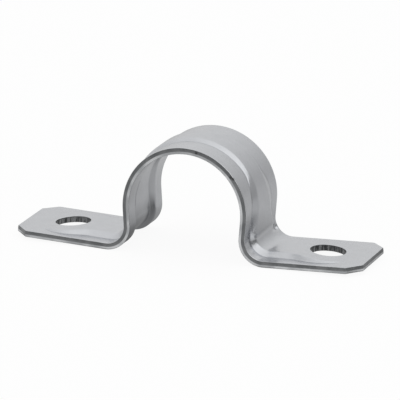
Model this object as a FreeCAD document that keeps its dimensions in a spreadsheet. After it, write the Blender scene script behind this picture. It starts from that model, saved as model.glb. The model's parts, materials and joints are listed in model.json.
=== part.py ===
"""Two-hole conduit strap, pressed from one strip of zinc-plated steel.

Frame, in millimetres: X runs along the strap from foot to foot, Y runs along
the conduit, and Z points away from the wall.  The origin is in the middle of
the base, on the surface that the strap is screwed to.

The strip is swept along one line, its underside: over the saddle, down a leg,
round a bend and out along a foot.  A rib is pressed up along its middle and
leaves a channel below, so the raised form and the channel are the same form,
one sheet thickness apart.  The rib is low and narrow over the crown of the
saddle, spreads and rises down the haunch and the leg, and is widest and
sharpest from the bend on.  On each foot it widens into a round boss about the
screw hole and slopes down to nothing before the tip.  One half is modelled and
mirrored.
"""
import FreeCAD, Part

import math
import os

import Sketcher
from FreeCAD import Placement, Rotation, Vector

# Driving dimensions, in millimetres and degrees.
SIZES = {
    "sheet_thickness": 1.3,
    "strap_width": 19.05,
    "overall_length": 74.0,
    "saddle_radius": 11.9,       # inside the saddle, on the flat bands beside the rib
    "saddle_height": 9.75,       # axis of the saddle above the base
    "leg_lean": 4.0,             # each leg leans in under the saddle, to grip
    "bend_radius": 3.8,          # inside the bend between leg and foot
    "foot_rise": 2.2,            # each foot springs up towards its tip until it is screwed down
    "corner_cut_along": 2.8,     # corner cuts, measured along the foot
    "corner_cut_across": 3.0,    # corner cuts, measured across the foot
    "hole_diameter": 7.2,
    "hole_spacing": 55.0,
    "rib_spread_start": 58.0,    # from the top of the saddle to where the rib begins to spread
    "saddle_rib_height": 0.5,    # over the crown, down to there
    "saddle_rib_crest_width": 5.6,
    "saddle_rib_wall_run": 1.1,  # width of the sloping wall beside the crest
    "leg_rib_height": 0.65,      # where the saddle meets the leg
    "leg_rib_crest_width": 7.6,
    "leg_rib_wall_run": 2.3,
    "foot_rib_height": 0.95,     # from the end of the leg on, and on the boss
    "foot_rib_crest_width": 10.6,
    "foot_rib_wall_run": 0.85,
    "boss_diameter": 14.8,       # foot of the boss wall
    "boss_blend_radius": 1.2,    # where the rib wall turns into the boss wall
    "fade_start": 13.4,          # from the tip to where the rib begins to slope down
    "fade_end": 4.6,             # from the tip to where it has sloped down to nothing
    "fold_radius": 0.4,          # of the crest's folds, from the end of the leg on
    "drawn_edge": 0.2,           # bevel that the shear and the punch left on the upper edges
}

# Laps that leave no mark on the finished strap.
ROOT_SHARE = 0.5                 # of the sheet's thickness, how deep the rib is rooted in it
LAND_LAP = 1.2                   # of the rib's wall, how far the land reaches back into the bend
OVERCUT = 1.0                    # how far a cut goes past the face that it leaves by

# By how many degrees the surface turns at least in an edge of each kind.
LEAST_FOLD = 10
LEAST_CUT = 75

doc = FreeCAD.newDocument("ConduitStrap")
sheet = doc.addObject("Spreadsheet::Sheet", "Sizes")
for row, (alias, value) in enumerate(SIZES.items(), start=1):
    sheet.set(f"A{row}", alias)
    sheet.set(f"B{row}", str(value))
    sheet.setAlias(f"B{row}", alias)
doc.recompute()


def size(alias):
    """The number in the sheet's cell, for first positions in a sketch."""
    return float(sheet.get(alias))


def origin_plane(body, role):
    return next(f for f in body.Origin.OriginFeatures if f.Role == role)


def new_sketch(body, name, role):
    sketch = body.newObject("Sketcher::SketchObject", name)
    sketch.AttachmentSupport = [(origin_plane(body, role), "")]
    sketch.MapMode = "FlatFace"
    return sketch


def bind(sketch, name, constraint, expression):
    """Add a dimension to a sketch and tie it to the sheet."""
    index = sketch.addConstraint(constraint)
    sketch.renameConstraint(index, name)
    sketch.setExpression(f"Constraints.{name}", expression)


def measure(sketch, name, constraint):
    """Add a reference dimension, which other features read."""
    index = sketch.addConstraint(constraint)
    sketch.setDriving(index, False)
    sketch.renameConstraint(index, name)


def reading(sketch, name):
    """Expression for a reference dimension, as a plain number."""
    return f"{sketch.Name}.Constraints.{name} / 1 mm"


START, END, CENTRE = range(1, 4)     # points of a sketch element
AXES, ROOT_POINT = -START, START     # the sketch's own origin


def draw_path(body):
    """The underside of one half: saddle, leg, bend and foot, from the top of the saddle to the tip."""
    radius, height = size("saddle_radius"), size("saddle_height")
    lean, rise = math.radians(size("leg_lean")), math.radians(size("foot_rise"))
    bend = size("bend_radius") + size("sheet_thickness")
    outward = Vector(math.cos(lean), -math.sin(lean), 0)
    leg_top = Vector(0, height, 0) + outward * radius
    bend_centre = leg_top + outward * bend
    leg_length = (bend_centre.y - bend) / math.cos(lean)
    down = Vector(-math.sin(lean), -math.cos(lean), 0) * leg_length
    leg_foot, bend_centre = leg_top + down, bend_centre + down
    foot_start = bend_centre + Vector(math.sin(rise), -math.cos(rise), 0) * bend
    foot_reach = size("overall_length") / 2 - foot_start.x
    tip = foot_start + Vector(foot_reach, foot_reach * math.tan(rise), 0)
    up = Vector(0, 0, 1)
    path = new_sketch(body, "Centreline_" + body.Name, "XZ_Plane")
    saddle_circle = Part.Circle(Vector(0, height, 0), up, radius)
    spread = math.pi / 2 - math.radians(size("rib_spread_start"))
    crown = path.addGeometry(Part.ArcOfCircle(saddle_circle, spread, math.pi / 2))
    haunch = path.addGeometry(Part.ArcOfCircle(saddle_circle, -lean, spread))
    leg = path.addGeometry(Part.LineSegment(leg_top, leg_foot))
    curve = path.addGeometry(Part.ArcOfCircle(
        Part.Circle(bend_centre, up, bend), math.pi - lean, 3 * math.pi / 2 + rise))
    foot = path.addGeometry(Part.LineSegment(foot_start, tip))
    path.addConstraint(Sketcher.Constraint("PointOnObject", crown, CENTRE, -2))
    path.addConstraint(Sketcher.Constraint("PointOnObject", crown, END, -2))
    path.addConstraint(Sketcher.Constraint("Coincident", crown, CENTRE, haunch, CENTRE))
    path.addConstraint(Sketcher.Constraint("Coincident", crown, START, haunch, END))
    path.addConstraint(Sketcher.Constraint("Tangent", haunch, START, leg, START))
    path.addConstraint(Sketcher.Constraint("Tangent", leg, END, curve, START))
    path.addConstraint(Sketcher.Constraint("Tangent", curve, END, foot, START))
    bind(path, "saddle_radius", Sketcher.Constraint("Radius", crown, radius), "Sizes.saddle_radius")
    bind(path, "saddle_height", Sketcher.Constraint(
        "DistanceY", AXES, ROOT_POINT, crown, CENTRE, height), "Sizes.saddle_height")
    bind(path, "crown_turn", Sketcher.Constraint("Angle", crown, math.radians(size("rib_spread_start"))),
         "1 deg * Sizes.rib_spread_start")
    bind(path, "leg_lean", Sketcher.Constraint(
        "Angle", leg, END, -2, START, lean), "1 deg * Sizes.leg_lean")
    bind(path, "bend_radius", Sketcher.Constraint("Radius", curve, bend),
         "Sizes.bend_radius + Sizes.sheet_thickness")
    bind(path, "bend_height", Sketcher.Constraint(
        "DistanceY", AXES, ROOT_POINT, curve, CENTRE, bend), "Sizes.bend_radius + Sizes.sheet_thickness")
    bind(path, "foot_rise", Sketcher.Constraint("Angle", -1, START, foot, START, rise),
         "1 deg * Sizes.foot_rise")
    bind(path, "half_length", Sketcher.Constraint(
        "DistanceX", AXES, ROOT_POINT, foot, END, tip.x), "Sizes.overall_length / 2")
    measure(path, "leg_foot_x", Sketcher.Constraint("DistanceX", AXES, ROOT_POINT, leg, END, leg_foot.x))
    measure(path, "leg_foot_z", Sketcher.Constraint("DistanceY", AXES, ROOT_POINT, leg, END, leg_foot.y))
    measure(path, "foot_x", Sketcher.Constraint("DistanceX", AXES, ROOT_POINT, foot, START, foot_start.x))
    measure(path, "foot_z", Sketcher.Constraint("DistanceY", AXES, ROOT_POINT, foot, START, foot_start.y))
    measure(path, "foot_length", Sketcher.Constraint("Distance", foot, foot_start.distanceToPoint(tip)))
    return path


def draw_section(body, name, half_widths, heights):
    """A symmetric closed outline across the strip, with its origin on the underside of the sheet.

    half_widths and heights are (value, expression) pairs, from the bottom of the outline to its top.
    """
    section = new_sketch(body, name, "YZ_Plane")
    right = [Vector(w, h, 0) for (w, _), (h, _) in zip(half_widths, heights)]
    corners = right + [Vector(-p.x, p.y, 0) for p in reversed(right)]
    count = len(corners)
    for i, corner in enumerate(corners):
        section.addGeometry(Part.LineSegment(corner, corners[(i + 1) % count]))
    for i in range(count):
        section.addConstraint(Sketcher.Constraint("Coincident", i, END, (i + 1) % count, START))
    for i, (half_width, height) in enumerate(zip(half_widths, heights)):
        mirrored = count - 1 - i
        section.addConstraint(Sketcher.Constraint("Symmetric", i, START, mirrored, START, -2))
        bind(section, f"width_{i}", Sketcher.Constraint(
            "DistanceX", mirrored, START, i, START, 2 * half_width[0]), f"2 * ({half_width[1]})")
        bind(section, f"height_{i}", Sketcher.Constraint(
            "DistanceY", AXES, ROOT_POINT, i, START, height[0]), height[1])
    return section


def sweep(body, name, section, path, later_sections=()):
    """Sweep a section along a path, changing it evenly through the later sections, if any."""
    pipe = body.newObject("PartDesign::AdditivePipe", name)
    pipe.Profile = section
    pipe.Spine = path
    if later_sections:
        pipe.Transformation = "Multisection"
        pipe.Sections = list(later_sections)
    doc.recompute()
    return pipe


def soften(body, name, kind, width, path, chosen):
    """Fillet or chamfer the edges that are chosen.

    chosen is asked about each edge, with its middle, the middle's height over
    the underside of the sheet and the angle through which the surface turns there.
    """
    names = []
    for number, edge in enumerate(body.Tip.Shape.Edges, start=1):
        middle = edge.valueAt((edge.FirstParameter + edge.LastParameter) / 2)
        height = path.Shape.distToShape(Part.Vertex(middle.x, 0, middle.z))[0]
        faces = body.Tip.Shape.ancestorsOfType(edge, Part.Face)
        normals = [face.normalAt(*face.Surface.parameter(middle)) for face in faces]
        turn = math.degrees(normals[0].getAngle(normals[-1]))
        if chosen(edge, middle, height, turn):
            names.append(f"Edge{number}")
    feature = body.newObject("PartDesign::" + kind, name)
    feature.Base = (feature.BaseFeature, names)
    feature.setExpression({"Fillet": "Radius", "Chamfer": "Size"}[kind], f"Sizes.{width}")
    doc.recompute()


def stand_across(section, x, z, turn):
    """Stand a section square across the path, at a point of it and at its turn from the top of the saddle."""
    section.AttachmentOffset = Placement(Vector(), Rotation(Vector(1, 0, 0), 1))
    section.setExpression(".AttachmentOffset.Base.z", x)
    section.setExpression(".AttachmentOffset.Base.y", z)
    section.setExpression(".AttachmentOffset.Rotation.Angle", turn)


def place_on_foot(sketch, path, plane, level="0"):
    """Move a sketch to where the foot begins, at a level above the underside, and tilt it with the foot."""
    tilt_axis, out, up = {
        "XY_Plane": (Vector(0, -1, 0), "x", "z"),      # lies on the foot
        "XZ_Plane": (Vector(0, 0, 1), "x", "y"),       # stands along the foot
    }[plane]
    rise = "1 deg * Sizes.foot_rise"
    offset = ".AttachmentOffset"
    sketch.AttachmentOffset = Placement(Vector(), Rotation(tilt_axis, size("foot_rise")))
    sketch.setExpression(f"{offset}.Base.{out}", f"{reading(path, 'foot_x')} - {level} * sin({rise})")
    sketch.setExpression(f"{offset}.Base.{up}", f"{reading(path, 'foot_z')} + {level} * cos({rise})")
    sketch.setExpression(f"{offset}.Rotation.Angle", rise)


def draw_land(body, path, level, inset):
    """Plan of the raised land on a foot: the rib, running into a round boss about the screw hole."""
    half_rib = size("foot_rib_crest_width") / 2 + size("foot_rib_wall_run") - inset[0]
    boss = size("boss_diameter") / 2 - inset[0]
    blend = size("boss_blend_radius") + inset[0]
    foot_x, rise = path.getDatum("foot_x").Value, math.radians(size("foot_rise"))
    hole_x = (size("hole_spacing") / 2 - foot_x) / math.cos(rise)
    blend_x = hole_x - math.sqrt((boss + blend) ** 2 - (half_rib + blend) ** 2)
    turn = math.atan2(half_rib + blend, hole_x - blend_x)
    up = Vector(0, 0, 1)
    land = new_sketch(body, "Land_plan_" + body.Name, "XY_Plane")
    place_on_foot(land, path, "XY_Plane", level)
    lap = LAND_LAP * size("foot_rib_wall_run")
    start = land.addGeometry(Part.LineSegment(Vector(-lap, -half_rib, 0), Vector(-lap, half_rib, 0)))
    far = land.addGeometry(Part.LineSegment(Vector(-lap, half_rib, 0), Vector(blend_x, half_rib, 0)))
    far_blend = land.addGeometry(Part.ArcOfCircle(
        Part.Circle(Vector(blend_x, half_rib + blend, 0), up, blend), 1.5 * math.pi, 2 * math.pi - turn))
    boss_arc = land.addGeometry(Part.ArcOfCircle(
        Part.Circle(Vector(hole_x, 0, 0), up, boss), turn - math.pi, math.pi - turn))
    near_blend = land.addGeometry(Part.ArcOfCircle(
        Part.Circle(Vector(blend_x, -half_rib - blend, 0), up, blend), turn, 0.5 * math.pi))
    near = land.addGeometry(Part.LineSegment(Vector(blend_x, -half_rib, 0), Vector(-lap, -half_rib, 0)))
    for rule in (("Coincident", start, END, far, START),
                 ("Tangent", far, END, far_blend, START),
                 ("Tangent", far_blend, END, boss_arc, END),
                 ("Tangent", boss_arc, START, near_blend, START),
                 ("Tangent", near_blend, END, near, START),
                 ("Coincident", near, END, start, START),
                 ("PointOnObject", boss_arc, CENTRE, -1),
                 ("Symmetric", start, START, start, END, -1),
                 ("Horizontal", far),
                 ("Horizontal", near),
                 ("Equal", far_blend, near_blend)):
        land.addConstraint(Sketcher.Constraint(*rule))
    bind(land, "lap", Sketcher.Constraint("DistanceX", start, START, AXES, ROOT_POINT, lap),
         f"{LAND_LAP} * Sizes.foot_rib_wall_run")
    bind(land, "rib_width", Sketcher.Constraint("DistanceY", start, START, start, END, 2 * half_rib),
         f"Sizes.foot_rib_crest_width + 2 * (Sizes.foot_rib_wall_run - {inset[1]})")
    bind(land, "boss_radius", Sketcher.Constraint("Radius", boss_arc, boss),
         f"Sizes.boss_diameter / 2 - {inset[1]}")
    bind(land, "blend_radius", Sketcher.Constraint("Radius", far_blend, blend),
         f"Sizes.boss_blend_radius + {inset[1]}")
    bind(land, "hole_x", Sketcher.Constraint("DistanceX", AXES, ROOT_POINT, boss_arc, CENTRE, hole_x),
         f"(Sizes.hole_spacing / 2 - {reading(path, 'foot_x')}) / cos(1 deg * Sizes.foot_rise)")
    return land


def draw_fade(body, path, level):
    """Side view of what is taken off the land, where it slopes down to the sheet before the tip."""
    foot = path.getDatum("foot_length").Value
    low, high = level[0], level[0] + size("foot_rib_height")
    top = high + OVERCUT
    begin, end, past = foot - size("fade_start"), foot - size("fade_end"), foot + OVERCUT
    fade = new_sketch(body, "Fade_" + body.Name, "XZ_Plane")
    place_on_foot(fade, path, "XZ_Plane")
    corners = [Vector(begin, high, 0), Vector(end, low, 0), Vector(past, low, 0),
               Vector(past, top, 0), Vector(begin, top, 0)]
    for i, corner in enumerate(corners):
        fade.addGeometry(Part.LineSegment(corner, corners[(i + 1) % 5]))
    for i in range(5):
        fade.addConstraint(Sketcher.Constraint("Coincident", i, END, (i + 1) % 5, START))
    for rule in (("Horizontal", 1), ("Vertical", 2), ("Horizontal", 3), ("Vertical", 4)):
        fade.addConstraint(Sketcher.Constraint(*rule))
    length = reading(path, "foot_length")
    for name, kind, point, value, expression in (
            ("begin", "DistanceX", 0, begin, f"{length} - Sizes.fade_start"),
            ("end", "DistanceX", 1, end, f"{length} - Sizes.fade_end"),
            ("past", "DistanceX", 2, past, f"{length} + {OVERCUT}"),
            ("high", "DistanceY", 0, high, f"{level[1]} + Sizes.foot_rib_height"),
            ("low", "DistanceY", 1, low, level[1]),
            ("top", "DistanceY", 3, top, f"{level[1]} + Sizes.foot_rib_height + {OVERCUT}")):
        bind(fade, name, Sketcher.Constraint(kind, AXES, ROOT_POINT, point, START, value), expression)
    return fade


def draw_rib_section(body, zone, level, inset, root):
    """The rib's section in one zone of the strap, with its crest, its sloping walls and its root."""
    height, crest_width, wall_run = (f"{zone}_rib_{part}" for part in ("height", "crest_width", "wall_run"))
    crest = (size(crest_width) / 2 - inset[0], f"Sizes.{crest_width} / 2 - {inset[1]}")
    foot = (crest[0] + size(wall_run), f"{crest[1]} + Sizes.{wall_run}")
    top = (level[0] + size(height), f"{level[1]} + Sizes.{height}")
    bottom = (level[0] - root[0], f"({level[1]} - {root[1]})")
    name = f"{zone.capitalize()}_rib_{body.Name}"
    return draw_section(body, name, [foot, foot, crest], [bottom, level, top])


def press_rib(body, path, level, inset_of, root):
    """Rib over the saddle, down the leg and along the foot, standing on a level of the sheet.

    level and root are (value, expression) pairs: the level that the rib stands
    on, and how far its root goes below that.  inset_of gives such a pair for a
    zone: how much narrower the rib is on each side.
    """
    saddle, leg, foot = (draw_rib_section(body, zone, level, inset_of(zone), root)
                         for zone in ("saddle", "leg", "foot"))
    leg_turn = "(90 deg + 1 deg * Sizes.leg_lean)"
    for section, turn in ((saddle, "1 deg * Sizes.rib_spread_start"), (leg, leg_turn)):
        stand_across(section, f"Sizes.saddle_radius * sin({turn})",
                     f"Sizes.saddle_height + Sizes.saddle_radius * cos({turn})", turn)
    stand_across(foot, reading(path, "leg_foot_x"), reading(path, "leg_foot_z"), leg_turn)
    from_the_top = sorted(enumerate(path.Shape.Edges, start=1), key=lambda edge: -edge[1].CenterOfMass.z)
    crown, haunch, straight, bend, _ = (f"Edge{number}" for number, _ in from_the_top)
    sweep(body, "Crown_" + body.Name, saddle, (path, [crown]))
    sweep(body, "Spread_" + body.Name, saddle, (path, [haunch, straight]), [leg, foot])
    sweep(body, "Bend_" + body.Name, foot, (path, [bend]))
    land = body.newObject("PartDesign::Pad", "Land_" + body.Name)
    land.Profile = draw_land(body, path, level[1], inset_of("foot"))
    land.SideType = "Two sides"
    land.setExpression("Length", "Sizes.foot_rib_height")
    land.setExpression("TaperAngle", "-atan(Sizes.foot_rib_wall_run / Sizes.foot_rib_height)")
    land.setExpression("Length2", root[1])
    doc.recompute()
    crest = level[0] + size("foot_rib_height")

    def is_crest_fold(edge, middle, height, turn):
        return math.isclose(height, crest, rel_tol=0.001) and turn > LEAST_FOLD and abs(middle.y) > 0

    soften(body, "Folds_" + body.Name, "Fillet", "fold_radius", path, is_crest_fold)
    slope = body.newObject("PartDesign::Pocket", "Slope_" + body.Name)
    slope.Profile = draw_fade(body, path, level)
    slope.SideType = "Symmetric"
    slope.setExpression("Length", "2 * Sizes.strap_width")
    doc.recompute()


def draw_corner_cuts(body):
    """Two triangles, one off each corner of the foot."""
    half, side = size("overall_length") / 2, size("strap_width") / 2
    along, across = size("corner_cut_along"), size("corner_cut_across")
    cuts = new_sketch(body, "Corner_cuts", "XY_Plane")
    for n, edge in enumerate((-1, 1)):
        corner = Vector(half, edge * side, 0)
        tip, flank = Vector(half, edge * (side - across), 0), Vector(half - along, edge * side, 0)
        lines = [cuts.addGeometry(Part.LineSegment(*ends))
                 for ends in ((corner, tip), (tip, flank), (flank, corner))]
        for i in range(3):
            cuts.addConstraint(Sketcher.Constraint("Coincident", lines[i], END, lines[(i + 1) % 3], START))
        cuts.addConstraint(Sketcher.Constraint("Vertical", lines[0]))
        cuts.addConstraint(Sketcher.Constraint("Horizontal", lines[2]))
        bind(cuts, f"half_length_{n}", Sketcher.Constraint(
            "DistanceX", AXES, ROOT_POINT, lines[0], START, half), "Sizes.overall_length / 2")
        bind(cuts, f"side_{n}", Sketcher.Constraint(
            "DistanceY", AXES, ROOT_POINT, lines[0], START, edge * side), f"{edge} * Sizes.strap_width / 2")
        bind(cuts, f"across_{n}", Sketcher.Constraint(
            "DistanceY", lines[0], END, lines[0], START, edge * across), f"{edge} * Sizes.corner_cut_across")
        bind(cuts, f"along_{n}", Sketcher.Constraint(
            "DistanceX", lines[2], START, lines[2], END, along), "Sizes.corner_cut_along")
    return cuts


def draw_hole(body):
    """The screw hole, square to the base."""
    centre, radius = size("hole_spacing") / 2, size("hole_diameter") / 2
    hole = new_sketch(body, "Hole_outline", "XY_Plane")
    circle = hole.addGeometry(Part.Circle(Vector(centre, 0, 0), Vector(0, 0, 1), radius))
    hole.addConstraint(Sketcher.Constraint("PointOnObject", circle, CENTRE, -1))
    bind(hole, "from_middle", Sketcher.Constraint(
        "DistanceX", AXES, ROOT_POINT, circle, CENTRE, centre), "Sizes.hole_spacing / 2")
    bind(hole, "diameter", Sketcher.Constraint("Diameter", circle, 2 * radius), "Sizes.hole_diameter")
    return hole


def cut_through(body, name, profile):
    """Cut a profile that lies on the XY plane right through the strap."""
    cut = body.newObject("PartDesign::Pocket", name)
    cut.Profile = profile
    cut.SideType = "Symmetric"
    cut.setExpression("Length", "4 * (Sizes.saddle_height + Sizes.saddle_radius)")
    doc.recompute()
    return cut


def no_inset(zone):
    return 0.0, "0"


def even_sheet_inset(zone):
    """How much narrower the channel is than the rib, for a sheet that stays even round its folds."""
    height, run = f"{zone}_rib_height", f"{zone}_rib_wall_run"
    return (size("sheet_thickness") * math.tan(math.atan2(size(height), size(run)) / 2),
            f"Sizes.sheet_thickness * tan(atan(Sizes.{height} / Sizes.{run}) / 2)")


def is_tip_edge(edge, middle, height, turn):
    """Whether the upper face meets the tip or a corner cut in this edge."""
    upper = math.isclose(height, size("sheet_thickness"), rel_tol=0.001)
    return upper and turn > LEAST_CUT and edge.Curve.TypeId == "Part::GeomLine" and middle.x > 0


UPPER_FACE = (size("sheet_thickness"), "Sizes.sheet_thickness")
UNDERSIDE = (0.0, "0")

channel = doc.addObject("PartDesign::Body", "Channel")
doc.recompute()
channel_path = draw_path(channel)
doc.recompute()
press_rib(channel, channel_path, UNDERSIDE, even_sheet_inset, (OVERCUT, str(OVERCUT)))

strap = doc.addObject("PartDesign::Body", "Strap")
strap.Label = "conduit_strap"
doc.recompute()
strap_path = draw_path(strap)
half_width = (size("strap_width") / 2, "Sizes.strap_width / 2")
below_bevel = (size("sheet_thickness") - size("drawn_edge"), "Sizes.sheet_thickness - Sizes.drawn_edge")
inside_bevel = (half_width[0] - size("drawn_edge"), half_width[1] + " - Sizes.drawn_edge")
strip_section = draw_section(strap, "Strip_section", [half_width, half_width, inside_bevel],
                             [UNDERSIDE, below_bevel, UPPER_FACE])
stand_across(strip_section, "0", "Sizes.saddle_height + Sizes.saddle_radius", "0 deg")
doc.recompute()
sweep(strap, "Strip", strip_section, strap_path)
press_rib(strap, strap_path, UPPER_FACE, no_inset,
          (ROOT_SHARE * UPPER_FACE[0], f"{ROOT_SHARE} * Sizes.sheet_thickness"))
hollow = strap.newObject("PartDesign::Boolean", "Hollow_under_rib")
hollow.Type = "Cut"
hollow.setObjects([channel])
doc.recompute()
cut_through(strap, "Screw_hole", draw_hole(strap))
cut_through(strap, "Corners", draw_corner_cuts(strap))
soften(strap, "Drawn_edges", "Chamfer", "drawn_edge", strap_path, is_tip_edge)
mirror = strap.newObject("PartDesign::Mirrored", "Both_halves")
mirror.TransformMode = "Whole shape"
mirror.MirrorPlane = (origin_plane(strap, "YZ_Plane"), [""])
mirror.Refine = True
strap.Tip = mirror
doc.recompute()

faulty = [item.Label for item in doc.Objects if "Invalid" in item.State or "Error" in item.State]
if faulty:
    raise RuntimeError(f"these objects failed: {faulty}")
os.makedirs("parts", exist_ok=True)
for part in (strap,):
    shape = part.Shape
    if shape.isNull() or not shape.isValid() or len(shape.Solids) != 1:
        raise RuntimeError(f"{part.Label} is not one valid solid")
    shape.exportStep(f"parts/{part.Label}.step")
    print(part.Label, round(shape.Volume, 2), "mm3", shape.BoundBox, len(shape.Faces), "faces")
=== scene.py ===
"""Looks of a pressed two-hole conduit strap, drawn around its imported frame.

The strap is one sheet of steel, so its mesh is drawn in the sheet's own
coordinates, in millimetres: `along` is the distance along the underside from
the top of the saddle, `across` the distance from the centreline, and `level`
the height above the underside.  Only the finished mesh is in metres.
"""
import json
import math
from functools import reduce
from operator import add

import bmesh
import bpy
import numpy as np
from mathutils import Matrix, Vector


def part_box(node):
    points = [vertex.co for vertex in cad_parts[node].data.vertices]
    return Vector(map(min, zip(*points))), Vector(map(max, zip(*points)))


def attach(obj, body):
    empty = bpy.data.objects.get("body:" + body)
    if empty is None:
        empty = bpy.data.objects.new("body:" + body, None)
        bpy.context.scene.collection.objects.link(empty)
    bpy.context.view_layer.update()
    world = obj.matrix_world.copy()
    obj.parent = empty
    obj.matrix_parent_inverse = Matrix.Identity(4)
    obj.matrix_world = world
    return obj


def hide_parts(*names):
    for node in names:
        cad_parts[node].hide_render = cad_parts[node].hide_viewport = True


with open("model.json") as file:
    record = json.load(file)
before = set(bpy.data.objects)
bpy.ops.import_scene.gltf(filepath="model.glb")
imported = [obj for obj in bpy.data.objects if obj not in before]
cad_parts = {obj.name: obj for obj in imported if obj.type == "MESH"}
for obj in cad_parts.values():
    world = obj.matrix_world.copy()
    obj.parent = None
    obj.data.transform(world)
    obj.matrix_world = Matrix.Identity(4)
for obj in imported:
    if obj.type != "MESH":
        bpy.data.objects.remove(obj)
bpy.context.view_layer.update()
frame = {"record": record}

# ---------------------------------------------------------------- sizes, from the frame

NODE = "conduit_strap"
MM = 0.001
low, high = (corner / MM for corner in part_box(NODE))
mounts = {mount["name"]: mount for mount in frame["record"]["mounts"]}
saddle = mounts["conduit_saddle"]
holes = mounts["screw_holes"]["dims"]

HALF_LENGTH = (high.x - low.x) / 2
HALF_WIDTH = (high.y - low.y) / 2
SADDLE_RADIUS = saddle["dims"]["r_mm"]
SADDLE_HEIGHT = saddle["pos_m"][2] / MM
HOLE_X = holes["spacing_x_mm"] / 2
HOLE_RADIUS = holes["hole_r_mm"]
FOOT_RISE = math.asin(mounts["right_foot_face"]["axis"][0])

# ---------------------------------------------------------------- sizes of the pressing

# The rib's section over the crown, where the saddle meets the leg, and from the leg's end on.
SPREAD_START = math.radians(58)  # from the top of the saddle
RIB_HEIGHTS = 0.5, 0.65, 0.95
RIB_CRESTS = 2.8, 3.8, 5.3       # half the width of the crest
RIB_WALLS = 1.1, 2.3, 0.85       # run of the sloping wall
SHEET = high.z - SADDLE_HEIGHT - SADDLE_RADIUS - RIB_HEIGHTS[0]
LEG_LEAN = math.radians(4.0)
BEND_RADIUS = 3.8 + SHEET        # of the underside, outside the bend
BOSS_RADIUS = 7.4
BOSS_BLEND = 1.2
FADE_START = 13.4                # from the tip
FADE_END = 4.6
CORNER_ALONG = 2.8
CORNER_ACROSS = 3.0
FOLD_INNER = 0.34                # width over which a fold turns, on its tight side
FOLD_OUTER = 0.75                # and on its outer side
SLOPE_BLEND = 0.12
CREASE = 0.06                    # how deep the punch bit in along the foot of the rib's wall
CREASE_WIDTH = 0.15
CREASE_FADE = 1.5                # over which the crease dies out as the rib does
# Where the bends puckered or dented the sheet: along, across, height, radius.
PUCKERS = (
    (25.4, -7.5, 0.12, 0.7),
    (27.3, -7.7, 0.18, 0.7),
    (29.3, -7.5, 0.14, 0.6),
    (25.8, 4.9, -0.24, 0.6),
    (25.9, 8.4, -0.42, 0.85),
    (-27.2, -7.6, 0.12, 0.8),
    (-29.4, -7.5, 0.1, 0.7),
    (-26.8, 7.8, 0.16, 0.7),
)
PUCKER_FADE = 0.4                # over which they die out before the edges

# The outline's cut wall, from the upper face down: a rolled edge, a sheared part, a torn part, a lower edge.
ROLLOVER = 0.12
SHEARED_LEAN = 0.05              # how far the sheared part leans in at its top
SHEARED_CURVE = 1.3              # the power by which it leans in with height
SHEARED_SHARES = 0.46, 0.91      # the shares of the sheet's thickness at which it ends and begins
TORN_SHARES = 0.36, 0.22         # and those of two rows of the torn part
LOWER_EDGE = 0.14
UPPER_INSET = ROLLOVER + SHEARED_LEAN
PUNCH_ROLLOVER = 0.12            # the same rolled edge, round a hole
# Small nicks in the near edge, drawn only as dark spots of painted shade: along, across, level.
NICKS = (2.3, -9.5, 0.8), (10.4, -9.5, 0.9), (10.9, -9.5, 1.1)

# Distances along the underside at which the rib begins to spread and saddle, leg and bend end, places on
# it as (x, z), and lengths along the foot from its start.
SPREAD_FROM = SADDLE_RADIUS * SPREAD_START
SADDLE_END = SADDLE_RADIUS * (math.pi / 2 + LEG_LEAN)
LEG_TOP = Vector((math.cos(LEG_LEAN), -math.sin(LEG_LEAN))) * SADDLE_RADIUS + Vector((0, SADDLE_HEIGHT))
LEG_LENGTH = (LEG_TOP.y - BEND_RADIUS * (1 + math.sin(LEG_LEAN))) / math.cos(LEG_LEAN)
LEG_END = SADDLE_END + LEG_LENGTH
LEG_FOOT = LEG_TOP - Vector((math.sin(LEG_LEAN), math.cos(LEG_LEAN))) * LEG_LENGTH
BEND_CENTRE = LEG_FOOT + Vector((math.cos(LEG_LEAN), -math.sin(LEG_LEAN))) * BEND_RADIUS
BEND_END = LEG_END + BEND_RADIUS * (math.pi / 2 + LEG_LEAN + FOOT_RISE)
FOOT_START = BEND_CENTRE + Vector((math.sin(FOOT_RISE), -math.cos(FOOT_RISE))) * BEND_RADIUS
FOOT_LENGTH = (HALF_LENGTH - FOOT_START.x) / math.cos(FOOT_RISE)
HOLE_FOOT_X = (HOLE_X - FOOT_START.x) / math.cos(FOOT_RISE)
RIB_END = FOOT_LENGTH - FADE_END


# ---------------------------------------------------------------- the form of the sheet

def place(along, across, level):
    """Points in the row's frame, in metres, for points of the sheet."""
    along, across, level = np.broadcast_arrays(along, across, level)
    side, s = np.sign(along), np.abs(along)
    on_saddle_leg_bend = [s <= SADDLE_END, s <= LEG_END, s <= BEND_END]
    turn = np.select(
        on_saddle_leg_bend,
        [math.pi / 2 - s / SADDLE_RADIUS, -LEG_LEAN, -LEG_LEAN + (s - LEG_END) / BEND_RADIUS],
        math.pi / 2 + FOOT_RISE)
    out, up = np.cos(turn), np.sin(turn)
    down_leg, out_foot = s - SADDLE_END, s - BEND_END
    x = np.select(
        on_saddle_leg_bend,
        [SADDLE_RADIUS * out, LEG_TOP.x - down_leg * math.sin(LEG_LEAN), BEND_CENTRE.x - BEND_RADIUS * out],
        FOOT_START.x + out_foot * math.cos(FOOT_RISE))
    z = np.select(
        on_saddle_leg_bend,
        [SADDLE_HEIGHT + SADDLE_RADIUS * up, LEG_TOP.y - down_leg * math.cos(LEG_LEAN),
         BEND_CENTRE.y - BEND_RADIUS * up],
        FOOT_START.y + out_foot * math.sin(FOOT_RISE))
    return np.stack([side * (x + level * out), across, z + level * up], axis=-1) * MM


def eased(value, width):
    """max(value, 0) with its corner rounded over a width."""
    share = np.clip(value / width + 0.5, 0, 1)
    return np.where(value > width / 2, value, width * share * share / 2)


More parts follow.
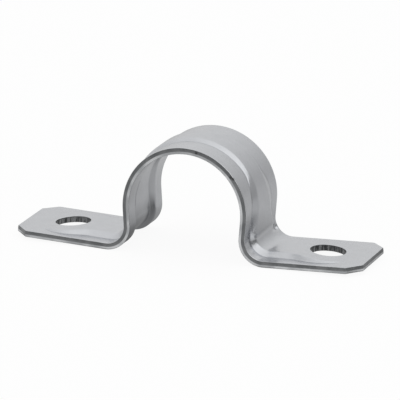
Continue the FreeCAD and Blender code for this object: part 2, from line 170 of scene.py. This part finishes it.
def lower_of(a, b, width):
    """min(a, b) with its crease rounded."""
    overlap = np.clip(1 - np.abs(a - b) / width, 0, 1)
    return np.minimum(a, b) - overlap * overlap * width / 4


def rib_section(along, under_sheet):
    """The rib's height, half the width of its crest and the run of its wall, at places along the strap."""
    share = np.clip((np.abs(along) - SPREAD_FROM) / (LEG_END - SPREAD_FROM), 0, 1)
    at_leg = (SADDLE_END - SPREAD_FROM) / (LEG_END - SPREAD_FROM)
    # The parabola through the three sections.
    crown_part = (1 - share) * (1 - share / at_leg)
    foot_part = share * (share - at_leg) / (1 - at_leg)
    leg_part = 1 - crown_part - foot_part
    parts = np.stack([crown_part, leg_part, foot_part], axis=-1)
    # The channel is narrower than the rib by what an even sheet needs round its folds.
    inset = [SHEET * math.tan(math.atan2(height, run) / 2) * under_sheet
             for height, run in zip(RIB_HEIGHTS, RIB_WALLS)]
    return parts @ RIB_HEIGHTS, parts @ np.subtract(RIB_CRESTS, inset), parts @ RIB_WALLS, parts @ inset


def inside_rib(foot_x, across, half_width, inset):
    """How far inside the foot of the rib's wall, or of the boss's, a point lies."""
    rib = np.minimum(half_width - np.abs(across), HOLE_FOOT_X - foot_x)
    boss = BOSS_RADIUS - inset - np.hypot(foot_x - HOLE_FOOT_X, across)
    blend = BOSS_BLEND + inset
    both = np.hypot(np.maximum(blend + rib, 0), np.maximum(blend + boss, 0))
    return both - np.maximum(blend, np.minimum(-rib, -boss))


def rise(along, across, under_sheet, foot_fold, crest_fold):
    """Height that the press gave the sheet at a point, on its upper face or its underside."""
    foot_x = np.abs(along) - BEND_END
    height, crest, run, inset = rib_section(along, under_sheet)
    depth = inside_rib(foot_x, across, crest + run, inset)
    wall = height / run * (eased(depth, foot_fold) - eased(depth - run, crest_fold))
    slope = RIB_HEIGHTS[2] * (RIB_END - foot_x) / (FADE_START - FADE_END)
    before_tip = np.clip((RIB_END - foot_x) / CREASE_FADE, 0, 1)
    crease = CREASE * np.exp(-(depth / CREASE_WIDTH) ** 2) * (1 - under_sheet) * before_tip
    return np.maximum(lower_of(wall, slope, SLOPE_BLEND), 0) - crease


def pucker(along, across):
    """Height of the small puckers and dents that the bends left. They end short of the edges."""
    within = np.clip((HALF_WIDTH - UPPER_INSET - np.abs(across)) / PUCKER_FADE, 0, 1)
    return within * sum(height * np.exp(-((along - at) ** 2 + (across - beside) ** 2) / radius ** 2)
                        for at, beside, height, radius in PUCKERS)


def upper(along, across):
    return SHEET + rise(along, across, 0, FOLD_INNER, FOLD_OUTER) + pucker(along, across)


def under(along, across):
    return rise(along, across, 1, FOLD_OUTER, FOLD_INNER) + pucker(along, across)


def steps(*stops):
    """Values from stop to stop; each stop is (value, step up to it), and the first is a value."""
    values = [float(stops[0])]
    for end, step in stops[1:]:
        count = max(1, round(abs(end - values[-1]) / step))
        values += list(np.linspace(values[-1], end, count + 1)[1:])
    return np.array(values)


# ---------------------------------------------------------------- the mesh

# A point's cut share tells the finish where it is. It is 0 on the faces, rises to 1 round the outline's
# rolled edge, and falls again down the cut wall. Down a hole's wall it is more than 1.
SHEARED_CUTS = 0.7, 1.0          # where the sheared part ends and begins
TORN_CUTS = 0.5, 0.48
LOWER_CUT, LOWER_CUT_STEP = 0.46, 0.09
HOLE_CUT = 1.3

QUARTER = np.linspace(0, math.pi / 2, 6)  # the turn of a rounded edge
ROW_STEPS = 0.42, 0.43, 0.25     # along saddle, leg and bend
# The numbers of steps between the stops of each grid.
COLUMN_STEPS = 8, 8, 4, 8, 8     # from the centreline by the crest's fold and the wall's foot to the edge
OUTLINE_STEPS = 38, 9, 26, 9, 38  # near side, corner cut, tip, corner cut, far side
RING_STEPS = 9, 14, 20           # from the hole to the boss's wall, over it, and on to the outline
HOLE_WALL_STEPS = 8
FOLD_REACH = 0.5                 # from a fold's middle to the stops beside it, at most
FOLD_REACH_SHARE = 0.42          # and as a share of the wall's run
BOSS_WALL_INNER = BOSS_RADIUS - 1.15  # the rings' stops on the two sides of the boss's wall
BOSS_WALL_OUTER = BOSS_WALL_INNER + 1.4


class Sheet:
    """Collects grids of points of the sheet and welds them into one mesh."""

    def __init__(self):
        self.points, self.quads, self.count = [], [], 0

    def grid(self, along, across, level, cut, flip=False, closed=False):
        """A grid of points. cut is their cut share."""
        along, across, level, cut = np.broadcast_arrays(along, across, level, cut)
        rows, columns = along.shape
        number = np.arange(rows * columns).reshape(rows, columns) + self.count
        if closed:
            number = np.concatenate([number, number[:, :1]], axis=1)
        corners = [number[:-1, :-1], number[1:, :-1], number[1:, 1:], number[:-1, 1:]]
        if flip:
            corners.reverse()
        self.quads.append(np.stack(corners, axis=-1).reshape(-1, 4))
        self.points.append(np.stack([along, across, level, cut], axis=-1).reshape(-1, 4))
        self.count += rows * columns

    def build(self, name):
        points = np.concatenate(self.points)
        mesh = bpy.data.meshes.new(name)
        mesh.from_pydata(place(points[:, 0], points[:, 1], points[:, 2]), [], np.concatenate(self.quads))
        for attribute, columns in (("sheet_place", points[:, :3]), ("cut_share", points[:, 3])):
            kind = "FLOAT_VECTOR" if columns.ndim == 2 else "FLOAT"
            layer = mesh.attributes.new(attribute, kind, "POINT")
            layer.data.foreach_set("vector" if columns.ndim == 2 else "value",
                                   np.ascontiguousarray(columns, np.float32).ravel())
        weld = bmesh.new()
        weld.from_mesh(mesh)
        bmesh.ops.remove_doubles(weld, verts=weld.verts, dist=0.001 * MM)
        bmesh.ops.recalc_face_normals(weld, faces=weld.faces)
        weld.to_mesh(mesh)
        weld.free()
        mesh.shade_smooth()
        return bpy.data.objects.new(name, mesh)


def rim_profile():
    """From the upper face round a cut edge to the underside.

    Each step is how far in from the outline it lies, its share of the wall's
    height, an offset on that height, and its cut share.
    """
    profile = []
    for a in QUARTER:
        inset = SHEARED_LEAN + ROLLOVER * (1 - math.sin(a))
        profile.append((inset, 1, -ROLLOVER * (1 - math.cos(a)), a / QUARTER[-1]))
    for share in (0.8, 0.6, 0.4, 0.2, 0):
        height, cut = (start + share * (end - start) for start, end in (SHEARED_SHARES, SHEARED_CUTS))
        profile.append((SHEARED_LEAN * share ** SHEARED_CURVE, height, 0, cut))
    profile += [(0, height, 0, cut) for height, cut in zip(TORN_SHARES, TORN_CUTS)]
    for n, a in enumerate(QUARTER):
        cut = LOWER_CUT - LOWER_CUT_STEP * n
        profile.append((LOWER_EDGE * (1 - math.cos(a)), 0, LOWER_EDGE * (1 - math.sin(a)), cut))
    return np.array(profile)


def foot_outline(inset):
    """A foot's cut outline, from the bend along the near edge, round the tip and back, inset all round."""
    side, tip = HALF_WIDTH - inset, FOOT_LENGTH - inset
    # A corner cut's line moves in by the inset, and meets the two moved sides here.
    cut_length = math.hypot(CORNER_ALONG, CORNER_ACROSS)
    along = CORNER_ALONG - inset * (cut_length - CORNER_ALONG) / CORNER_ACROSS
    across = CORNER_ACROSS - inset * (cut_length - CORNER_ACROSS) / CORNER_ALONG
    return [(0, -side), (tip - along, -side), (tip, -side + across),
            (tip, side - across), (tip - along, side), (0, side)]


def spaced_outline(inset):
    """Points round the outline, as many whatever the inset."""
    corners = foot_outline(inset)
    points = [np.array([corners[0]])]
    for start, end, count in zip(corners, corners[1:], OUTLINE_STEPS):
        share = np.linspace(0, 1, count + 1)[1:, None]
        points.append(np.array(start) * (1 - share) + np.array(end) * share)
    return np.concatenate(points)


def columns_across(along, edge, under_sheet):
    """Where the columns of a face run across the strap: they follow the rib's folds, close together there."""
    _, crest, run, _ = rib_section(along, under_sheet)
    fold = np.minimum(FOLD_REACH, FOLD_REACH_SHARE * run)
    stops = [0 * crest, crest - fold, crest + fold, crest + run - fold, crest + run + fold, edge + 0 * crest]
    half = [stops[0][..., None]]
    for begin, end, count in zip(stops, stops[1:], COLUMN_STEPS):
        share = np.linspace(0, 1, count + 1)[1:]
        half.append(begin[..., None] * (1 - share) + end[..., None] * share)
    half = np.concatenate(half, axis=-1)
    return np.concatenate([-half[..., :0:-1], half], axis=-1)


def draw_strip(sheet):
    """Saddle, legs and bends, as rows of one closed section."""
    half = steps(0, *zip((SADDLE_END, LEG_END, BEND_END), ROW_STEPS))
    rows = np.concatenate([-half[:0:-1], half])[:, None]
    columns = columns_across(rows[:, 0], HALF_WIDTH - UPPER_INSET, 0)
    sheet.grid(rows, columns, upper(rows, columns), 0)
    columns = columns_across(rows[:, 0], HALF_WIDTH - LOWER_EDGE, 1)
    sheet.grid(rows, columns, under(rows, columns), 0, flip=True)
    inset, share, offset, cut = rim_profile().T
    for side in (-1, 1):
        sheet.grid(rows, side * (HALF_WIDTH - inset)[None, :], (share * SHEET + offset)[None, :],
                   cut[None, :], flip=side > 0)


def draw_foot(sheet, side):
    """One foot: its two faces, drawn outward from the screw hole, its outline and the hole's wall."""
    for inset, level, face in ((UPPER_INSET, upper, 1), (LOWER_EDGE, under, -1)):
        line = columns_across(BEND_END, HALF_WIDTH - inset, face < 0)
        bend = np.stack([np.zeros_like(line), line], axis=-1)
        outline = np.concatenate([spaced_outline(inset), bend[::-1][1:-1]])
        rim = PUNCH_ROLLOVER if face > 0 else 0
        reach = np.hypot(outline[:, 0] - HOLE_FOOT_X, outline[:, 1])
        bearing = (outline - [HOLE_FOOT_X, 0]) / reach[:, None]
        start = np.full_like(reach, HOLE_RADIUS + rim)
        stops = [start, np.full_like(reach, BOSS_WALL_INNER), np.full_like(reach, BOSS_WALL_OUTER), reach]
        radii = [start[None, :]]
        for begin, end, count in zip(stops, stops[1:], RING_STEPS):
            share = np.linspace(0, 1, count + 1)[1:, None]
            radii.append(begin * (1 - share) + end * share)
        radii = np.concatenate(radii)
        if face > 0:
            hole_bearing = bearing
        foot_x = HOLE_FOOT_X + radii * bearing[:, 0]
        across = radii * bearing[:, 1]
        # Both faces meet the hole's wall at the same bearings.
        foot_x[0] = HOLE_FOOT_X + start * hole_bearing[:, 0]
        across[0] = start * hole_bearing[:, 1]
        along = side * (BEND_END + foot_x)
        sheet.grid(along, across, level(along, across), 0, flip=(face * side > 0), closed=True)
    inset, share, offset, cut = rim_profile().T
    outline = np.stack([spaced_outline(i) for i in inset], axis=1)
    along = side * (BEND_END + outline[..., 0])
    sheet.grid(along, outline[..., 1], share * SHEET + offset, cut, flip=side > 0)
    draw_hole_wall(sheet, side, hole_bearing)


def draw_hole_wall(sheet, side, bearing):
    """A screw hole's rolled edge and its wall. bearing holds unit vectors from the hole's middle."""
    def levels(face, radius):
        foot_x, across = (radius * bearing).T
        return face(side * (BEND_END + HOLE_FOOT_X + foot_x), across)

    top, bottom = levels(upper, HOLE_RADIUS + PUNCH_ROLLOVER), levels(under, HOLE_RADIUS)
    rows = []
    for a in QUARTER:
        radius = HOLE_RADIUS + PUNCH_ROLLOVER * (1 - math.sin(a))
        rows.append((radius, top - PUNCH_ROLLOVER * (1 - math.cos(a)), a / QUARTER[-1]))
    wall_top = top - PUNCH_ROLLOVER
    for share in np.linspace(1, 0, HOLE_WALL_STEPS + 1)[1:]:
        rows.append((HOLE_RADIUS, bottom + (wall_top - bottom) * share, HOLE_CUT))
    radius = np.array([row[0] for row in rows])[:, None]
    level = np.array([row[1] for row in rows])
    cut = np.array([row[2] for row in rows])[:, None]
    along = side * (BEND_END + HOLE_FOOT_X + radius * bearing[None, :, 0])
    sheet.grid(along, radius * bearing[None, :, 1], level, cut, flip=(side < 0), closed=True)


def build_strap():
    sheet = Sheet()
    draw_strip(sheet)
    for side in (-1, 1):
        draw_foot(sheet, side)
    strap = sheet.build("pressed_strap")
    bpy.context.scene.collection.objects.link(strap)
    return strap


# ---------------------------------------------------------------- shader helpers

class Value:
    """An output socket. Sums and products of it add their Math nodes."""

    def __init__(self, nodes, socket):
        self.nodes, self.socket = nodes, socket

    def math(self, operation, *others):
        return self.nodes.add("ShaderNodeMath", {"operation": operation}, dict(enumerate((self, *others))))

    def __add__(self, other):
        return self.math("ADD", other)

    __radd__ = __add__

    def __mul__(self, other):
        return self.math("MULTIPLY", other)

    def __rsub__(self, other):
        return (self * -1) + other

    def step_up(self, low, high):
        """0 below low, 1 above high, smooth between."""
        return self.nodes.add("ShaderNodeMapRange", {"interpolation_type": "SMOOTHSTEP"},
                              {"Value": self, "From Min": low, "From Max": high})

    def bounded(self, low, high):
        return self.math("MAXIMUM", low).math("MINIMUM", high)


class Nodes:
    """The node tree of a material or a world."""

    def __init__(self, owner):
        owner.use_nodes = True
        self.tree = owner.node_tree
        self.tree.nodes.clear()

    def add(self, kind, settings=None, inputs=None, output=0):
        """A node of that type, its settings set first, then its sockets, by name or number."""
        node = self.tree.nodes.new(kind)
        for name, value in (settings or {}).items():
            setattr(node, name, value)
        for name, value in (inputs or {}).items():
            socket = node.inputs[name]
            if isinstance(value, Value):
                self.tree.links.new(value.socket, socket)
            else:
                socket.default_value = value
        return Value(self, node.outputs[output]) if node.outputs else None

    def blend(self, factor, a, b):
        """From colour a to colour b. A Mix node's colours are its inputs 6 and 7 and its output 2."""
        colours = {0: factor, 6: a, 7: b}
        colours = {k: (*v, 1) if isinstance(v, tuple) else v for k, v in colours.items()}
        return self.add("ShaderNodeMix", {"data_type": "RGBA"}, colours, 2)

    def vector(self, operation, *values, output=0):
        return self.add("ShaderNodeVectorMath", {"operation": operation}, dict(enumerate(values)), output)

    def noise(self, place, scale, detail=3.0, roughness=0.5):
        return self.add("ShaderNodeTexNoise", {"noise_dimensions": "3D"},
                        {"Vector": place, "Scale": scale, "Detail": detail, "Roughness": roughness})


# ---------------------------------------------------------------- the finish

# Each part of the surface varies between two colours.
PLATING = (0.51, 0.52, 0.54), (0.535, 0.545, 0.565)
# The sheared part's two colours are painted darker than its steel: a painted dark reflection.
PAINTED_DARK_SHEARED_STEEL = (0.15, 0.155, 0.16), (0.21, 0.215, 0.22)
TORN_STEEL = (0.38, 0.39, 0.40), (0.64, 0.65, 0.66)
SCORED_STEEL = (0.16, 0.165, 0.17), (0.62, 0.63, 0.64)
# Painted shade in the nicks.
PAINTED_NICK_SHADE = 0.05, 0.05, 0.05


def zinc_plated_steel():
    """Satin zinc plating on the faces and duller steel on the cut walls, whose sheared part is painted dark
    as a painted reflection; small nicks show as spots of painted shade.
    """
    material = bpy.data.materials.new("zinc_plated_steel")
    nodes = Nodes(material)
    place_mm = nodes.add("ShaderNodeAttribute", {"attribute_name": "sheet_place"}, output="Vector")
    cut = nodes.add("ShaderNodeAttribute", {"attribute_name": "cut_share"}, output="Fac")

    # The plating's clouds and grain, the rolled sheet's lines, torn patches, and scores down a hole's wall.
    clouds = nodes.noise(place_mm, 0.45, detail=4.0, roughness=0.6)
    grain = nodes.noise(place_mm, 5.0, detail=2.0)
    rolled = nodes.noise(nodes.vector("MULTIPLY", place_mm, (0.12, 3.2, 1.0)), 1.0)
    patches = nodes.noise(place_mm, 0.16, detail=2.0)
    scores = nodes.noise(nodes.vector("MULTIPLY", place_mm, (2.6, 2.6, 0.3)), 1.0)

    plating = nodes.blend(clouds.step_up(0.3, 0.7), *PLATING)
    # The sheared part, painted dark as a painted reflection.
    sheared_painted_dark = nodes.blend(clouds.step_up(0.35, 0.65), *PAINTED_DARK_SHEARED_STEEL)
    torn = nodes.blend(patches.step_up(0.4, 0.6), *TORN_STEEL)
    scored = nodes.blend(scores.step_up(0.4, 0.6), *SCORED_STEEL)
    on_cut = cut.step_up(0.15, 0.45)
    on_sheared = cut.step_up(0.55, 0.68)
    in_hole = cut.step_up(1.05, 1.2)
    wall = nodes.blend(in_hole, nodes.blend(on_sheared, torn, sheared_painted_dark), scored)
    metal = nodes.blend(on_cut, plating, wall)
    # Dark spots of painted shade at the nicks.
    from_nicks = [nodes.vector("DISTANCE", place_mm, nick, output="Value") for nick in NICKS]
    painted_nick_shade = reduce(add, [1 - distance.step_up(0.12, 0.4) for distance in from_nicks])

    bump = nodes.add("ShaderNodeBump", None, {
        "Strength": 0.05, "Distance": 0.00003,
        "Height": grain * 0.5 + rolled * 0.5})
    shader = nodes.add("ShaderNodeBsdfPrincipled", None, {
        "Metallic": 1.0,
        "Base Color": nodes.blend(painted_nick_shade * 0.8, metal, PAINTED_NICK_SHADE),
        "Roughness": 0.2 + grain * 0.05 + rolled * 0.05 + on_cut * 0.12,
        "Normal": bump})
    nodes.add("ShaderNodeOutputMaterial", None, {"Surface": shader})
    return material


# ---------------------------------------------------------------- the studio

FLOOR_SIZE = 4.0
FLOOR_BELOW = 0.00002            # how far the floor lies below the strap


def pale_floor():
    """A plain white floor that keeps a faint shadow. The metal shows it with painted shade, greyer close to
    the strap.
    """
    bpy.ops.mesh.primitive_plane_add(size=FLOOR_SIZE, location=(0, 0, -FLOOR_BELOW))
    floor = bpy.context.object
    floor.name = "floor"
    material = bpy.data.materials.new("pale_floor")
    nodes = Nodes(material)

    # Distances on the floor from the strap's middle, in metres.
    on_floor = nodes.add("ShaderNodeTexCoord", output="Object")
    backward = nodes.vector("DOT_PRODUCT", on_floor, (0, 1, 0), output="Value")
    sideways = nodes.vector("DOT_PRODUCT", on_floor, (1, 0, 0), output="Value").math("ABSOLUTE")
    # The metal shows the floor bright in front of the strap and beside it, and with painted shade behind it:
    # dark close to the strap, brightening further back.
    in_front = (backward * -1).step_up(0.0095, 0.0105)
    beside = sideways.step_up(0.0372, 0.041) * (1 - backward.step_up(0.005, 0.015))
    # Painted shade: the floor in the metal is dark where the strap would shade it.
    behind = nodes.blend(backward.step_up(-0.005, 0.035), (0.2, 0.2, 0.2), (0.65, 0.65, 0.65))
    mirrored_with_painted_shade = nodes.blend(in_front.math("MAXIMUM", beside), behind, (0.9, 0.9, 0.9))

    # Seen plainly, the floor shines white but for a small share, which is lit and takes the shadow.
    in_metal = nodes.add("ShaderNodeLightPath", output="Is Glossy Ray")
    to_camera = nodes.add("ShaderNodeLightPath", output="Is Camera Ray")
    through_glass = nodes.add("ShaderNodeLightPath", output="Is Transmission Ray")
    shine = nodes.add("ShaderNodeEmission", None, {
        "Color": nodes.blend(in_metal, (1.0, 1.0, 1.0), mirrored_with_painted_shade), "Strength": 1.0})
    lit = nodes.add("ShaderNodeBsdfDiffuse", None, {"Color": (0.8, 0.8, 0.8, 1)})
    shining_share = (to_camera + through_glass) * 0.93 + in_metal
    surface = nodes.add("ShaderNodeMixShader", None, {0: shining_share, 1: lit, 2: shine})
    nodes.add("ShaderNodeOutputMaterial", None, {"Surface": surface})
    floor.data.materials.append(material)


def studio_world():
    """A broad white ceiling light, over grey walls.

    The light reaches further down at the front and right, and is a little
    brighter on the right. The walls are brighter behind, above and on the left.
    """
    world = bpy.data.worlds.new("studio")
    bpy.context.scene.world = world
    nodes = Nodes(world)
    direction = nodes.add("ShaderNodeTexCoord", output="Generated")
    ceiling = nodes.vector("DOT_PRODUCT", direction, (0.12, -0.2, 1), output="Value").step_up(0.46, 0.56)
    wall = nodes.vector("DOT_PRODUCT", direction, (-0.23, 0.35, 0.5), output="Value") + 0.34
    lamp = nodes.vector("DOT_PRODUCT", direction, (0.3, 0, 0), output="Value") + 1.15
    level = wall.bounded(0.15, 1.0) * (1 - ceiling) + lamp * ceiling
    background = nodes.add("ShaderNodeBackground", None, {"Color": (1, 1, 1, 1), "Strength": level})
    nodes.add("ShaderNodeOutputWorld", None, {"Surface": background})


def camera():
    """Long lens, a little above the strap and to its right."""
    azimuth, elevation, roll = math.radians(19.8), math.radians(16.19), math.radians(0.7336)
    distance, aim = 1.0041, Vector((-0.00004, 0, 0.00967))
    back = Vector((math.sin(azimuth) * math.cos(elevation), -math.cos(azimuth) * math.cos(elevation),
                   math.sin(elevation)))
    lens = bpy.data.cameras.new("camera")
    lens.sensor_width = 36
    lens.lens = 447.63
    item = bpy.data.objects.new("camera", lens)
    item.rotation_mode = "QUATERNION"
    level = (-back).to_track_quat("-Z", "Y")
    item.rotation_quaternion = level @ Matrix.Rotation(roll, 3, "Z").to_quaternion()
    item.location = aim + back * distance
    bpy.context.scene.collection.objects.link(item)
    bpy.context.scene.camera = item


# ---------------------------------------------------------------- the scene

strap = build_strap()
strap.data.materials.append(zinc_plated_steel())
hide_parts(NODE)
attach(strap, "root")

pale_floor()
studio_world()
camera()
bpy.context.scene.view_settings.view_transform = "Standard"
